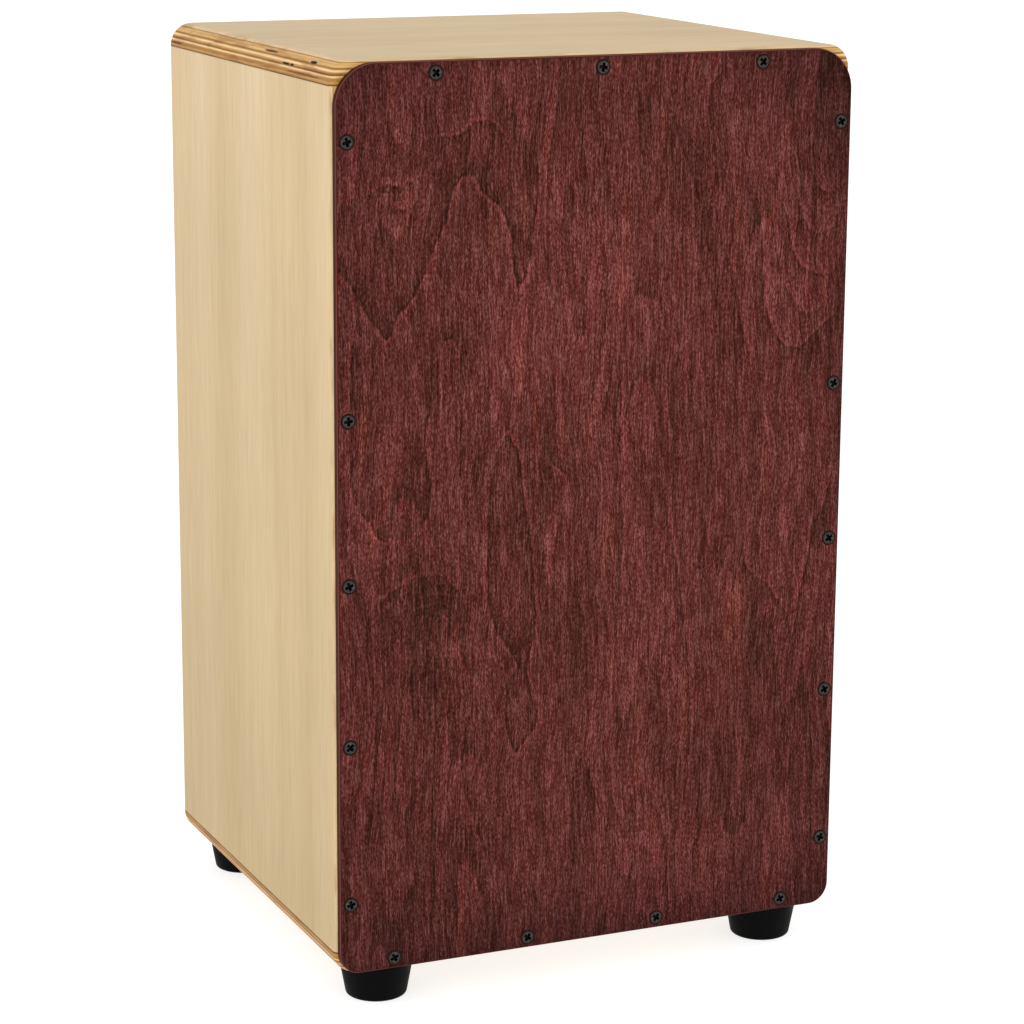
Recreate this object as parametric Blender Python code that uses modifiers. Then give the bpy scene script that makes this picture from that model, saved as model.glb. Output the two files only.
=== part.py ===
# Cajon: a plywood box drum, played on its thin stained front plate, the tapa.
# Metres, +Z up. The origin is on the floor under the middle of the drum, and the tapa faces -Y.

import math

import bmesh
import bpy
from mathutils import Matrix, Vector

# Carcass
BODY_WIDTH = 0.292
BODY_DEPTH = 0.256
BODY_HEIGHT = 0.475
PANEL_THICKNESS = 0.0127
LONG_EDGE_RADIUS = 0.0124
EASED_EDGE_RADIUS = 0.004
GLUE_GAP = 0.0003

# Tongues on the side panels, and their grooves in the top and bottom panels
TONGUE_THICKNESS = 0.005
TONGUE_HEIGHT = 0.005
TONGUE_END_SETBACK = 0.014

# Back panel, let into a rebate, and its sound hole
BACK_THICKNESS = 0.004
REBATE_WIDTH = 0.006
SOUND_HOLE_DIAMETER = 0.120
SOUND_HOLE_EASING = 0.0012

# Tapa
TAPA_THICKNESS = 0.004
TAPA_INSET = 0.0013
TAPA_TOP_CORNER_RADIUS = 0.022
TAPA_BOTTOM_CORNER_RADIUS = 0.0115
TAPA_EDGE_RADIUS = 0.0012

# Tapa screws: raised countersunk heads, and where their rows run
SCREW_HEAD_DIAMETER = 0.0076
SCREW_CROWN = 0.0005
SCREW_SHANK_DIAMETER = 0.003
SCREW_LENGTH = 0.016
SCREW_TIP_LENGTH = 0.003
SCREW_HOLE_CLEARANCE = 0.0003
SCREW_PILOT_SPARE = 0.0008
SCREW_EDGE_INSET = 0.006
TOP_ROW_COUNT = 3
TOP_ROW_END_INSET = 0.0533
BOTTOM_ROW_COUNT = 4
BOTTOM_ROW_END_INSET = 0.0301
SIDE_ROW_END_INSET = 0.0385
SIDE_ROW_TOP_GAP = 0.1396
SIDE_ROW_EVEN_COUNT = 4

# Rubber feet, each with a washer and a screw in its recess
FOOT_TOP_DIAMETER = 0.0395
FOOT_BOTTOM_DIAMETER = 0.033
FOOT_HEIGHT = 0.020
FOOT_EDGE_RADIUS = 0.002
FOOT_SIDE_INSET = 0.0305
FOOT_END_INSET = 0.0200
FOOT_RECESS_DIAMETER = 0.0155
FOOT_RECESS_DEPTH = 0.010
FOOT_SCREW_DIAMETER = 0.0042
FOOT_SCREW_HEAD_DIAMETER = 0.0085
FOOT_SCREW_HEAD_HEIGHT = 0.0028
FOOT_SCREW_PANEL_LEFT = 0.0032
FOOT_WASHER_DIAMETER = 0.0140
FOOT_WASHER_THICKNESS = 0.0015

# Corner strips, glued in the four long inside corners
STRIP_LEG = 0.016
STRIP_BLUNT = 0.002
STRIP_FRONT_SETBACK = 0.003

# Snare: a batten housed in the side panels, and two plates of wires that lean on the tapa
BATTEN_HEIGHT = 0.030
BATTEN_DEPTH = 0.018
BATTEN_HOUSING = 0.004
BATTEN_TOP_DROP = 0.060
BATTEN_TAPA_DISTANCE = 0.0075
SNARE_PLATE_WIDTH = 0.050
SNARE_PLATE_HEIGHT = 0.016
SNARE_PLATE_THICKNESS = 0.0012
SNARE_PLATE_SPREAD = 0.084
SNARE_WIRE_COUNT = 10
SNARE_WIRE_DIAMETER = 0.0018
SNARE_WIRE_LENGTH = 0.110
SNARE_WIRE_LAP = 0.005
SNARE_SCREW_SPACING = 0.030
SNARE_SCREW_DIAMETER = 0.0024
SNARE_SCREW_HEAD_DIAMETER = 0.0050
SNARE_SCREW_HEAD_HEIGHT = 0.0016
SNARE_SCREW_REACH = 0.010

# Facets of the round shapes
ROUNDOVER_SEGMENTS = 6
EASED_SEGMENTS = 3
CORNER_SEGMENTS = 8
SCREW_STEPS = 12
FOOT_STEPS = 24
SOUND_HOLE_SEGMENTS = 48
WIRE_SIDES = 6
CUTTER_REACH = 0.002
SMOOTH_ANGLE = math.radians(35)
MERGE_DISTANCE = 0.00001

# Places worked out from the sizes above: heights, then the fronts and backs of the layers
BODY_BOTTOM = FOOT_HEIGHT + GLUE_GAP
BODY_TOP = BODY_BOTTOM + BODY_HEIGHT
BODY_MIDDLE = (BODY_BOTTOM + BODY_TOP) / 2
TOTAL_DEPTH = SCREW_CROWN + TAPA_THICKNESS + GLUE_GAP + BODY_DEPTH
TAPA_FRONT = -TOTAL_DEPTH / 2 + SCREW_CROWN
TAPA_BACK = TAPA_FRONT + TAPA_THICKNESS
BODY_FRONT = TAPA_BACK + GLUE_GAP
BODY_BACK = BODY_FRONT + BODY_DEPTH
BODY_CENTRE_Y = (BODY_FRONT + BODY_BACK) / 2
SIDE_HEIGHT = BODY_HEIGHT - 2 * (PANEL_THICKNESS + GLUE_GAP)
SIDE_CENTRE_X = (BODY_WIDTH - PANEL_THICKNESS) / 2
INNER_HALF_WIDTH = BODY_WIDTH / 2 - PANEL_THICKNESS
INNER_BOTTOM = BODY_BOTTOM + PANEL_THICKNESS
INNER_TOP = BODY_TOP - PANEL_THICKNESS
BACK_WIDTH = 2 * (INNER_HALF_WIDTH + REBATE_WIDTH - GLUE_GAP)
BACK_HEIGHT = INNER_TOP - INNER_BOTTOM + 2 * (REBATE_WIDTH - GLUE_GAP)
BACK_INNER_FACE = BODY_BACK - BACK_THICKNESS
TAPA_WIDTH = BODY_WIDTH - 2 * TAPA_INSET
TAPA_HEIGHT = BODY_HEIGHT - 2 * TAPA_INSET

PARTS = "cajon"
HELPERS = "cajon_helpers"
TO_FRONT = Matrix.Rotation(math.radians(90), 4, "X")


# Scene, collections and materials

def clear_scene():
    for obj in list(bpy.data.objects):
        bpy.data.objects.remove(obj, do_unlink=True)


def add_collection(name, hidden=False):
    collection = bpy.data.collections.new(name)
    collection.hide_render = hidden
    bpy.context.scene.collection.children.link(collection)


def add_material(name, colour, roughness, metallic=0.0):
    material = bpy.data.materials.new(name)
    material.use_nodes = True
    shader = material.node_tree.nodes["Principled BSDF"]
    shader.inputs["Base Color"].default_value = (*colour, 1.0)
    shader.inputs["Roughness"].default_value = roughness
    shader.inputs["Metallic"].default_value = metallic
    material.diffuse_color = (*colour, 1.0)
    return material


def add_part(name, mesh, material, place=Matrix.Identity(4)):
    obj = bpy.data.objects.new(name, mesh)
    if not mesh.materials:
        mesh.materials.append(material)
    bpy.data.collections[PARTS].objects.link(obj)
    obj.parent = bpy.data.objects["cajon_frame"]
    obj.matrix_local = place
    return obj


def add_helper(name, mesh):
    obj = bpy.data.objects.new(name, mesh)
    bpy.data.collections[HELPERS].objects.link(obj)
    obj.hide_render = True
    obj.display_type = "WIRE"
    return obj


def boolean(target, helper, operation="DIFFERENCE"):
    modifier = target.modifiers.new(f"{operation.lower()} {helper.name}", "BOOLEAN")
    modifier.operation = operation
    modifier.solver = "EXACT"
    modifier.object = helper


# Shapes

def finished(bm, name):
    bmesh.ops.recalc_face_normals(bm, faces=bm.faces)
    mesh = bpy.data.meshes.new(name)
    bm.to_mesh(mesh)
    bm.free()
    return mesh


def smoothed(mesh):
    mesh.shade_smooth()
    mesh.set_sharp_from_angle(angle=SMOOTH_ANGLE)
    return mesh


def box(name, size, centre=(0, 0, 0)):
    bm = bmesh.new()
    bmesh.ops.create_cube(bm, size=1.0)
    bmesh.ops.scale(bm, vec=size, verts=bm.verts)
    bmesh.ops.translate(bm, vec=centre, verts=bm.verts)
    return finished(bm, name)


def round_edges(mesh, chosen, radius, segments):
    """Rounds the edges for which chosen(first point, second point) holds."""
    bm = bmesh.new()
    bm.from_mesh(mesh)
    edges = [e for e in bm.edges if chosen(e.verts[0].co, e.verts[1].co)]
    bmesh.ops.bevel(bm, geom=edges, offset=radius, segments=segments, profile=0.5, affect="EDGES")
    bm.to_mesh(mesh)
    bm.free()
    return mesh


def joined(name, pieces):
    """One mesh of several (mesh, matrix) pieces, which stay separate shells."""
    bm = bmesh.new()
    for mesh, place in pieces:
        copy = mesh.copy()
        copy.transform(place)
        bm.from_mesh(copy)
        bpy.data.meshes.remove(copy)
    return finished(bm, name)


def evaluated_mesh(obj, name):
    """The object's mesh, with its modifiers applied and its caps welded; the object is removed."""
    graph = bpy.context.evaluated_depsgraph_get()
    mesh = bpy.data.meshes.new_from_object(obj.evaluated_get(graph))
    bpy.data.objects.remove(obj, do_unlink=True)
    bm = bmesh.new()
    bm.from_mesh(mesh)
    bmesh.ops.remove_doubles(bm, verts=bm.verts, dist=MERGE_DISTANCE)
    bpy.data.meshes.remove(mesh)
    return finished(bm, name)


def turned(name, profile, steps, closed=False):
    """Turns a profile of (radius, height) points, listed down the outer side, round the Z axis."""
    mesh = bpy.data.meshes.new(name)
    count = len(profile)
    edges = [(i, i + 1) for i in range(count - 1)]
    if closed:
        edges.append((count - 1, 0))
    mesh.from_pydata([(r, 0, z) for r, z in profile], edges, [])
    obj = add_helper(name, mesh)
    screw = obj.modifiers.new("turn", "SCREW")
    screw.steps = steps
    screw.render_steps = steps
    screw.use_merge_vertices = True
    screw.merge_threshold = MERGE_DISTANCE
    bpy.context.view_layer.update()
    return smoothed(evaluated_mesh(obj, name))


def extruded(name, outline, thickness):
    """A flat outline in XY, given thickness along Z, centred on it."""
    curve = bpy.data.curves.new(name, "CURVE")
    curve.dimensions = "2D"
    curve.fill_mode = "BOTH"
    curve.extrude = thickness / 2
    spline = curve.splines.new("POLY")
    spline.points.add(len(outline) - 1)
    for point, (x, y) in zip(spline.points, outline):
        point.co = (x, y, 0, 1)
    spline.use_cyclic_u = True
    obj = add_helper(name, curve)
    bpy.context.view_layer.update()
    return evaluated_mesh(obj, name)


def rounded_rectangle(width, height, top_radius, bottom_radius):
    """Points of a centred rectangle, with one radius for its top corners and one for its bottom corners."""
    points = []
    for quarter, (sx, sy) in enumerate(((1, 1), (-1, 1), (-1, -1), (1, -1))):
        radius = top_radius if sy > 0 else bottom_radius
        middle = Vector((sx * (width / 2 - radius), sy * (height / 2 - radius)))
        for step in range(CORNER_SEGMENTS + 1):
            angle = math.radians(90) * (quarter + step / CORNER_SEGMENTS)
            points.append(middle + radius * Vector((math.cos(angle), math.sin(angle))))
    return points


def arc(centre, radius, start, end, segments):
    """Points (radius, height) of an arc in a turned profile, angles in degrees."""
    angles = [math.radians(start + (end - start) * i / segments) for i in range(segments + 1)]
    return [(centre[0] + radius * math.cos(a), centre[1] + radius * math.sin(a)) for a in angles]


def place_at(x, y, z, turn=Matrix.Identity(4)):
    return Matrix.Translation((x, y, z)) @ turn


# Where the tapa screws go: (name, x, z)

def tapa_screw_places():
    side = TAPA_WIDTH / 2 - SCREW_EDGE_INSET
    top = BODY_TOP - TAPA_INSET - SCREW_EDGE_INSET
    bottom = BODY_BOTTOM + TAPA_INSET + SCREW_EDGE_INSET
    places = []
    for row, count, inset, z in (
        ("top", TOP_ROW_COUNT, TOP_ROW_END_INSET, top),
        ("bottom", BOTTOM_ROW_COUNT, BOTTOM_ROW_END_INSET, bottom),
    ):
        half = TAPA_WIDTH / 2 - inset
        for i in range(count):
            places.append((f"tapa_screw_{row}_{i + 1}", -half + 2 * half * i / (count - 1), z))
    first = BODY_BOTTOM + TAPA_INSET + SIDE_ROW_END_INSET
    last = BODY_TOP - TAPA_INSET - SIDE_ROW_END_INSET
    pitch = (last - SIDE_ROW_TOP_GAP - first) / (SIDE_ROW_EVEN_COUNT - 1)
    heights = [first + pitch * i for i in range(SIDE_ROW_EVEN_COUNT)] + [last]
    for row, x in (("left", -side), ("right", side)):
        for i, z in enumerate(heights):
            places.append((f"tapa_screw_{row}_{i + 1}", x, z))
    return places


def foot_places():
    """(name, x, y) of the four feet."""
    x = BODY_WIDTH / 2 - FOOT_SIDE_INSET
    front, back = BODY_FRONT + FOOT_END_INSET, BODY_BACK - FOOT_END_INSET
    return [
        (f"{end}_{side}", sx * x, y)
        for end, y in (("front", front), ("back", back))
        for side, sx in (("left", -1), ("right", 1))
    ]


# Carcass

def front_pilots(row):
    """Holes in a panel's front edge for the tapa screws whose names hold this row."""
    depth = TAPA_BACK - BODY_FRONT + SCREW_LENGTH - TAPA_THICKNESS + SCREW_PILOT_SPARE
    radius = SCREW_SHANK_DIAMETER / 2 + SCREW_HOLE_CLEARANCE
    profile = [(0, CUTTER_REACH), (radius, CUTTER_REACH), (radius, -depth), (0, -depth)]
    drill = turned(f"{row}_pilot", profile, SCREW_STEPS)
    return [
        (drill, place_at(x, BODY_FRONT, z, TO_FRONT))
        for name, x, z in tapa_screw_places()
        if f"_{row}_" in name
    ]


def make_level_panel(name, top, material):
    """The top or the bottom panel: outer long edges rounded over, the front and back outlines eased."""
    up = 1 if top else -1
    half = Vector((BODY_WIDTH, BODY_DEPTH, PANEL_THICKNESS)) / 2
    near = MERGE_DISTANCE
    mesh = box(name, half * 2)
    radius = min(LONG_EDGE_RADIUS, PANEL_THICKNESS - GLUE_GAP)

    def long_outer_edge(a, b):
        return abs(a.y - b.y) > half.y and min(a.z * up, b.z * up) > 0

    def end_outline(a, b):
        at_end = abs(a.y) > half.y - near and abs(a.y - b.y) < near
        inside = max(a.z * up, b.z * up) < -half.z + near
        return at_end and not inside

    round_edges(mesh, long_outer_edge, radius, ROUNDOVER_SEGMENTS)
    round_edges(mesh, end_outline, EASED_EDGE_RADIUS, EASED_SEGMENTS)
    centre_z = (BODY_TOP if top else BODY_BOTTOM) - up * half.z
    panel = add_part(name, smoothed(mesh), material, place_at(0, BODY_CENTRE_Y, centre_z))

    # Grooves that take the side panels' tongues
    groove_size = (
        TONGUE_THICKNESS + 2 * GLUE_GAP,
        BODY_DEPTH - 2 * TONGUE_END_SETBACK + 2 * GLUE_GAP,
        2 * (TONGUE_HEIGHT + GLUE_GAP),
    )
    inner_face = INNER_TOP if top else INNER_BOTTOM
    groove = box(f"{name}_groove", groove_size)
    groove_z = inner_face - up * GLUE_GAP
    grooves = [(groove, place_at(side * SIDE_CENTRE_X, BODY_CENTRE_Y, groove_z)) for side in (-1, 1)]
    boolean(panel, add_helper(f"{name}_grooves", joined(f"{name}_grooves", grooves)))
    row = "top" if top else "bottom"
    boolean(panel, add_helper(f"{name}_pilots", joined(f"{name}_pilots", front_pilots(row))))
    boolean(panel, bpy.data.objects["back_rebate"])
    return panel


def make_side_panel(name, side, material):
    """A side panel, side -1 for left and 1 for right, with a tongue along its top and bottom edges."""
    half = Vector((PANEL_THICKNESS, BODY_DEPTH, SIDE_HEIGHT)) / 2
    mesh = box(name, half * 2)

    def outer_upright(a, b):
        return abs(a.z - b.z) > half.z and min(a.x * side, b.x * side) > 0

    round_edges(mesh, outer_upright, EASED_EDGE_RADIUS, EASED_SEGMENTS)
    place = place_at(side * SIDE_CENTRE_X, BODY_CENTRE_Y, BODY_MIDDLE)
    panel = add_part(name, smoothed(mesh), material, place)
    tongue_size = (
        TONGUE_THICKNESS,
        BODY_DEPTH - 2 * TONGUE_END_SETBACK,
        SIDE_HEIGHT + 2 * TONGUE_HEIGHT,
    )
    helper = add_helper(f"{name}_tongues", box(f"{name}_tongues", tongue_size))
    helper.location = panel.location
    boolean(panel, helper, "UNION")
    row = "left" if side < 0 else "right"
    boolean(panel, add_helper(f"{name}_pilots", joined(f"{name}_pilots", front_pilots(row))))
    boolean(panel, bpy.data.objects["back_rebate"])
    boolean(panel, bpy.data.objects["batten_housing"])
    return panel


def make_carcass_cutters():
    """The rebate for the back panel and the housings for the snare batten, each cut from several panels."""
    rebate_size = (
        BACK_WIDTH + 2 * GLUE_GAP,
        2 * (BACK_THICKNESS + GLUE_GAP),
        BACK_HEIGHT + 2 * GLUE_GAP,
    )
    add_helper("back_rebate", box("back_rebate", rebate_size, (0, BODY_BACK, BODY_MIDDLE)))
    housing_size = (
        2 * (INNER_HALF_WIDTH + BATTEN_HOUSING + GLUE_GAP),
        BATTEN_DEPTH + 2 * GLUE_GAP,
        BATTEN_HEIGHT + 2 * GLUE_GAP,
    )
    add_helper("batten_housing", box("batten_housing", housing_size, batten_centre()))


def make_back_panel(material):
    half = Vector((BACK_WIDTH, BACK_THICKNESS, BACK_HEIGHT)) / 2
    panel = add_part(
        "back_panel",
        box("back_panel", half * 2),
        material,
        place_at(0, BODY_BACK - half.y, BODY_MIDDLE),
    )
    radius = SOUND_HOLE_DIAMETER / 2
    reach = half.y + CUTTER_REACH
    eased = radius + SOUND_HOLE_EASING
    profile = [
        (0, reach),
        (eased + reach - half.y, reach),
        (radius, half.y - SOUND_HOLE_EASING),
        (radius, SOUND_HOLE_EASING - half.y),
        (eased + reach - half.y, -reach),
        (0, -reach),
    ]
    hole = turned("sound_hole", profile, SOUND_HOLE_SEGMENTS)
    hole.transform(place_at(0, BODY_BACK - half.y, BODY_MIDDLE, TO_FRONT))
    boolean(panel, add_helper("sound_hole", hole))


def make_corner_strips(material):
    """Blunt three-cornered strips in the inside corners, between the tapa and the back panel."""
    front = BODY_FRONT + STRIP_FRONT_SETBACK
    back = BACK_INNER_FACE - GLUE_GAP
    outline = [
        (0, 0),
        (STRIP_LEG, 0),
        (STRIP_LEG, STRIP_BLUNT),
        (STRIP_BLUNT, STRIP_LEG),
        (0, STRIP_LEG),
    ]
    x = INNER_HALF_WIDTH - GLUE_GAP
    corners = (
        ("bottom_left", -x, INNER_BOTTOM + GLUE_GAP, 0),
        ("bottom_right", x, INNER_BOTTOM + GLUE_GAP, -90),
        ("top_right", x, INNER_TOP - GLUE_GAP, 180),
        ("top_left", -x, INNER_TOP - GLUE_GAP, 90),
    )
    mesh = extruded("corner_strip", outline, back - front)
    for corner, cx, cz, turn in corners:
        spin = TO_FRONT @ Matrix.Rotation(math.radians(-turn), 4, "Z")
        add_part(f"corner_strip_{corner}", mesh, material, place_at(cx, (front + back) / 2, cz, spin))


# Tapa and its screws

def make_tapa(material):
    outline = rounded_rectangle(TAPA_WIDTH, TAPA_HEIGHT, TAPA_TOP_CORNER_RADIUS, TAPA_BOTTOM_CORNER_RADIUS)
    mesh = extruded("tapa", outline, TAPA_THICKNESS)
    face = TAPA_THICKNESS / 2 - MERGE_DISTANCE

    def front_outline(a, b):
        return min(a.z, b.z) > face

    # The fill's inner edges lie in the front face too, so they are dissolved before the rim is rounded
    bm = bmesh.new()
    bm.from_mesh(mesh)
    bmesh.ops.dissolve_limit(bm, angle_limit=math.radians(1), verts=bm.verts, edges=bm.edges)
    bm.to_mesh(mesh)
    bm.free()
    round_edges(mesh, front_outline, TAPA_EDGE_RADIUS, EASED_SEGMENTS)
    middle_y = (TAPA_FRONT + TAPA_BACK) / 2
    tapa = add_part("tapa", smoothed(mesh), material, place_at(0, middle_y, BODY_MIDDLE, TO_FRONT))
    seat = SCREW_HEAD_DIAMETER / 2 + SCREW_HOLE_CLEARANCE
    hole = SCREW_SHANK_DIAMETER / 2 + SCREW_HOLE_CLEARANCE
    through = TAPA_THICKNESS + CUTTER_REACH
    profile = [
        (0, CUTTER_REACH),
        (seat, CUTTER_REACH),
        (seat, 0),
        (hole, hole - seat),
        (hole, -through),
        (0, -through),
    ]
    drill = turned("tapa_screw_hole", profile, SCREW_STEPS)
    holes = [(drill, place_at(x, TAPA_FRONT, z, TO_FRONT)) for _, x, z in tapa_screw_places()]
    boolean(tapa, add_helper("tapa_screw_holes", joined("tapa_screw_holes", holes)))


def make_tapa_screws(material):
    head = SCREW_HEAD_DIAMETER / 2
    shank = SCREW_SHANK_DIAMETER / 2
    end = -SCREW_LENGTH
    profile = [
        (0, SCREW_CROWN),
        (head * 0.6, SCREW_CROWN * 0.7),
        (head, 0),
        (shank, shank - head),
        (shank, end + SCREW_TIP_LENGTH),
        (0, end),
    ]
    mesh = turned("tapa_screw", profile, SCREW_STEPS)
    for name, x, z in tapa_screw_places():
        add_part(name, mesh, material, place_at(x, TAPA_FRONT, z, TO_FRONT))


# Feet

def make_feet(rubber, steel):
    """Turned rubber feet with a recess for a washer and a screw, which runs up into the bottom panel."""
    top = FOOT_TOP_DIAMETER / 2
    bottom = FOOT_BOTTOM_DIAMETER / 2
    recess = FOOT_RECESS_DIAMETER / 2
    shank = FOOT_SCREW_DIAMETER / 2
    hole = shank + SCREW_HOLE_CLEARANCE
    foot_profile = [
        (hole, FOOT_HEIGHT),
        (top, FOOT_HEIGHT),
        *arc((bottom - FOOT_EDGE_RADIUS, FOOT_EDGE_RADIUS), FOOT_EDGE_RADIUS, 0, -90, EASED_SEGMENTS),
        (recess, 0),
        (recess, FOOT_RECESS_DEPTH),
        (hole, FOOT_RECESS_DEPTH),
    ]
    foot = turned("rubber_foot", foot_profile, FOOT_STEPS, closed=True)

    washer_top = FOOT_RECESS_DEPTH - GLUE_GAP
    washer_bottom = washer_top - FOOT_WASHER_THICKNESS
    rim = FOOT_WASHER_DIAMETER / 2
    washer_profile = [(hole, washer_top), (rim, washer_top), (rim, washer_bottom), (hole, washer_bottom)]
    washer = turned("foot_washer", washer_profile, FOOT_STEPS, closed=True)

    # The screw is turned with its tip up: it stops short of the panel's inside face
    head = FOOT_SCREW_HEAD_DIAMETER / 2
    head_top = washer_bottom - GLUE_GAP
    tip = BODY_BOTTOM + PANEL_THICKNESS - FOOT_SCREW_PANEL_LEFT
    screw_profile = [
        (0, tip),
        (shank, tip - SCREW_TIP_LENGTH),
        (shank, head_top),
        (head, head_top),
        (head, head_top - FOOT_SCREW_HEAD_HEIGHT * 0.4),
        (head * 0.6, head_top - FOOT_SCREW_HEAD_HEIGHT * 0.9),
        (0, head_top - FOOT_SCREW_HEAD_HEIGHT),
    ]
    screw = turned("foot_screw", screw_profile, SCREW_STEPS)
    pilot_top = tip + SCREW_PILOT_SPARE
    pilot_bottom = BODY_BOTTOM - CUTTER_REACH
    pilot_profile = [(0, pilot_top), (hole, pilot_top), (hole, pilot_bottom), (0, pilot_bottom)]
    drill = turned("foot_pilot", pilot_profile, SCREW_STEPS)
    pilots = []
    for name, x, y in foot_places():
        add_part(f"rubber_foot_{name}", foot, rubber, place_at(x, y, 0))
        add_part(f"foot_washer_{name}", washer, steel, place_at(x, y, 0))
        add_part(f"foot_screw_{name}", screw, steel, place_at(x, y, 0))
        pilots.append((drill, place_at(x, y, 0)))
    boolean(bpy.data.objects["bottom_panel"], add_helper("foot_pilots", joined("foot_pilots", pilots)))


# Snare

def batten_centre():
    y = TAPA_BACK + BATTEN_TAPA_DISTANCE + BATTEN_DEPTH / 2
    z = BODY_TOP - BATTEN_TOP_DROP - BATTEN_HEIGHT / 2
    return (0, y, z)


def snare_screw_places():
    """(plate name, screw number, x) of each screw; all sit at the middle height of the plates."""
    return [
        (side, n + 1, sx * SNARE_PLATE_SPREAD / 2 + (n - 0.5) * SNARE_SCREW_SPACING)
        for side, sx in (("left", -1), ("right", 1))
        for n in range(2)
    ]


def make_snare(wood, wire_steel, screw_steel):
    x, y, z = batten_centre()
    length = 2 * (INNER_HALF_WIDTH + BATTEN_HOUSING)
    batten_front = y - BATTEN_DEPTH / 2
    batten_mesh = box("snare_batten", (length, BATTEN_DEPTH, BATTEN_HEIGHT))
    batten = add_part("snare_batten", batten_mesh, wood, place_at(x, y, z))

    # The plates sit on the batten's front face, level with its lower edge
    plate_y = batten_front - GLUE_GAP - SNARE_PLATE_THICKNESS / 2
    plate_z = z - BATTEN_HEIGHT / 2 + SNARE_PLATE_HEIGHT / 2
    plate_front = plate_y - SNARE_PLATE_THICKNESS / 2
    shank = SNARE_SCREW_DIAMETER / 2
    hole = shank + SCREW_HOLE_CLEARANCE
    depth = SNARE_SCREW_REACH + SCREW_PILOT_SPARE
    drill_profile = [(0, CUTTER_REACH), (hole, CUTTER_REACH), (hole, -depth), (0, -depth)]
    drill = turned("snare_drill", drill_profile, SCREW_STEPS)
    drills = [(drill, place_at(sx, plate_front, plate_z, TO_FRONT)) for _, _, sx in snare_screw_places()]
    cutter = add_helper("snare_drills", joined("snare_drills", drills))
    boolean(batten, cutter)

    # Each wire leans from the plate's lower edge to the back of the tapa
    start = Vector((0, plate_y, plate_z - SNARE_PLATE_HEIGHT / 2 + SNARE_WIRE_LAP))
    radius = SNARE_WIRE_DIAMETER / 2
    tip_y = TAPA_BACK + GLUE_GAP + radius
    lean = math.asin((start.y - tip_y) / SNARE_WIRE_LENGTH)
    wire_pitch = (SNARE_PLATE_WIDTH - 2 * SNARE_WIRE_DIAMETER) / (SNARE_WIRE_COUNT - 1)
    for side, sx in (("left", -1), ("right", 1)):
        centre_x = sx * SNARE_PLATE_SPREAD / 2
        name = f"snare_wires_{side}"
        plate_mesh = box(name, (SNARE_PLATE_WIDTH, SNARE_PLATE_THICKNESS, SNARE_PLATE_HEIGHT))
        plate = add_part(name, plate_mesh, wire_steel, place_at(centre_x, plate_y, plate_z))
        bm = bmesh.new()
        for i in range(SNARE_WIRE_COUNT):
            wire_x = centre_x + (i - (SNARE_WIRE_COUNT - 1) / 2) * wire_pitch
            tilt = Matrix.Rotation(-lean, 4, "X")
            down = Matrix.Translation((0, 0, -SNARE_WIRE_LENGTH / 2))
            bmesh.ops.create_cone(
                bm,
                cap_ends=True,
                segments=WIRE_SIDES,
                radius1=radius,
                radius2=radius,
                depth=SNARE_WIRE_LENGTH,
                matrix=place_at(wire_x, start.y, start.z, tilt @ down),
            )
        boolean(plate, add_helper(f"strands_{side}", finished(bm, f"strands_{side}")), "UNION")
        boolean(plate, cutter)

    head = SNARE_SCREW_HEAD_DIAMETER / 2
    seat = GLUE_GAP
    profile = [
        (0, seat + SNARE_SCREW_HEAD_HEIGHT),
        (head * 0.6, seat + SNARE_SCREW_HEAD_HEIGHT * 0.9),
        (head, seat + SNARE_SCREW_HEAD_HEIGHT * 0.4),
        (head, seat),
        (shank, seat),
        (shank, SNARE_SCREW_DIAMETER - SNARE_SCREW_REACH),
        (0, -SNARE_SCREW_REACH),
    ]
    mesh = turned("snare_screw", profile, SCREW_STEPS)
    for side, n, sx in snare_screw_places():
        add_part(f"snare_screw_{side}_{n}", mesh, screw_steel, place_at(sx, plate_front, plate_z, TO_FRONT))


def main():
    clear_scene()
    add_collection(PARTS)
    add_collection(HELPERS, hidden=True)
    frame = bpy.data.objects.new("cajon_frame", None)
    bpy.data.collections[PARTS].objects.link(frame)

    birch_ply = add_material("birch plywood", (0.64, 0.50, 0.29), 0.42)
    stained_ply = add_material("stained birch plywood", (0.090, 0.020, 0.018), 0.45)
    softwood = add_material("softwood", (0.60, 0.43, 0.22), 0.60)
    rubber = add_material("black rubber", (0.010, 0.010, 0.010), 0.70)
    black_steel = add_material("black steel", (0.030, 0.030, 0.032), 0.40, 0.8)
    zinc_steel = add_material("zinc plated steel", (0.55, 0.55, 0.56), 0.35, 1.0)
    spring_steel = add_material("spring steel", (0.62, 0.61, 0.58), 0.30, 1.0)

    make_carcass_cutters()
    make_level_panel("top_panel", True, birch_ply)
    make_level_panel("bottom_panel", False, birch_ply)
    make_side_panel("left_side_panel", -1, birch_ply)
    make_side_panel("right_side_panel", 1, birch_ply)
    make_back_panel(birch_ply)
    make_corner_strips(softwood)
    make_tapa(stained_ply)
    make_tapa_screws(black_steel)
    make_feet(rubber, zinc_steel)
    make_snare(softwood, spring_steel, black_steel)
    bpy.context.view_layer.update()


main()
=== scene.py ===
# Cajon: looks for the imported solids. Metres, +Z up, the tapa faces -Y, the floor is z = 0.
import math
import random

import bmesh
import bpy
import numpy as np
from mathutils import Matrix, Vector


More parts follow.
